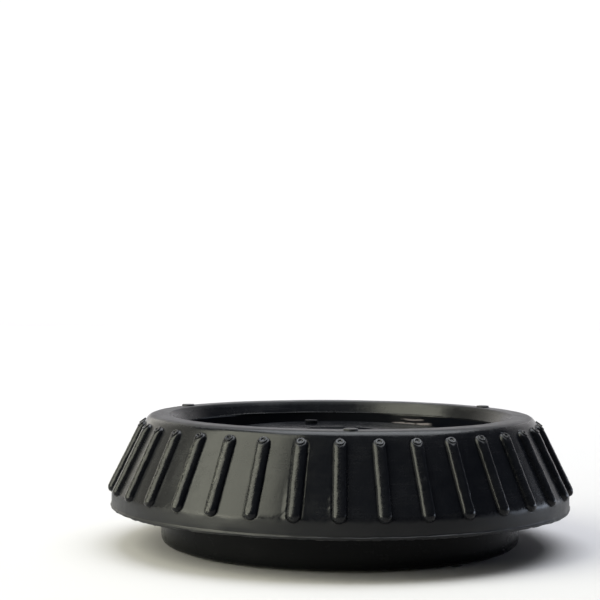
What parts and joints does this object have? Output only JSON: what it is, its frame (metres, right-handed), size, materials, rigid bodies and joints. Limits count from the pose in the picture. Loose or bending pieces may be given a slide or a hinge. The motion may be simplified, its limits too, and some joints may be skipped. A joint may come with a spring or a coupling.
{
  "type": "strut mount",
  "caption": "Rubber and steel top mount for a suspension strut: a ribbed rubber cone with a flange and collar, and a steel plate and sleeve moulded into its hub.",
  "frame": {"origin": "on the axis, in the plane on which the pips of the collar rest", "axes": "+Z along the axis towards the small end of the cone; -Y is the front, where one rib faces the viewer"},
  "size_m": [0.1194, 0.1194, 0.0336],
  "materials": {
    "rubber": "satin moulded black rubber, rough and pitted under the flange",
    "coated_plate": "thin brown bonding coat with smears",
    "sleeve_steel": "dull turned steel, slightly tarnished"
  },
  "bodies": {
    "root": {"rubber_body": "rubber", "insert_plate": "coated_plate", "centre_sleeve": "sleeve_steel"}
  },
  "joints": []
}
